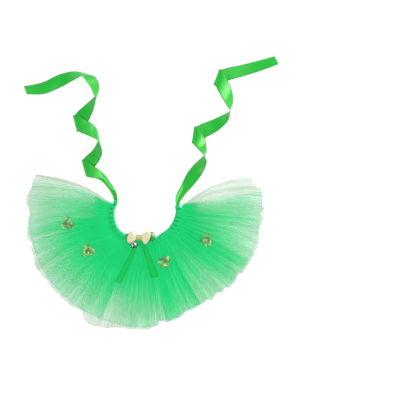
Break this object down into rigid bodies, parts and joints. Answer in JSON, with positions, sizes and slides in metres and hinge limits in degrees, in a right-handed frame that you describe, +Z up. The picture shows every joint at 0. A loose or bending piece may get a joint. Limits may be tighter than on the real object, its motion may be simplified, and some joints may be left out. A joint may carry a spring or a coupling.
{
  "type": "pet tutu costume with ribbon ties",
  "caption": "Gathered tulle collar skirt laid flat, with a horseshoe neck casing, satin ribbon ties, a double bow with tails, a jingle bell and glitter clovers.",
  "frame": {"origin": "the middle of the neck casing's flat underside at its front, on the surface that the costume lies on", "axes": "+Z up from that surface, +Y from the front of the neck towards the open nape and the ties, +X to the right seen from above"},
  "size_m": [0.4841, 0.5198, 0.027],
  "materials": {
    "pale_tulle": "sheer net",
    "green_tulle": "sheer net",
    "casing_tulle": "doubled net",
    "green_satin": "satin weave",
    "green_organza": "sheer satin",
    "cream_satin": "satin weave",
    "bright_nickel": "bright plated",
    "gold_glitter": "coarse glitter"
  },
  "bodies": {
    "root": {"tulle_underskirt": "pale_tulle", "tulle_middle_skirt": "green_tulle", "tulle_overskirt": "green_tulle", "neck_casing": "casing_tulle", "tie_ribbon_left": "green_satin", "tie_ribbon_right": "green_satin", "green_bow_loop_left": "green_satin", "green_bow_loop_right": "green_satin", "green_bow_tail_left": "green_organza", "green_bow_tail_right": "green_organza", "cream_bow_loop_left": "cream_satin", "cream_bow_loop_right": "cream_satin", "cream_bow_knot": "cream_satin", "jingle_bell": "bright_nickel", "bell_loop": "bright_nickel", "clover_far_left": "gold_glitter", "clover_near_left": "gold_glitter", "clover_near_right": "gold_glitter", "clover_far_right": "gold_glitter"}
  },
  "joints": []
}
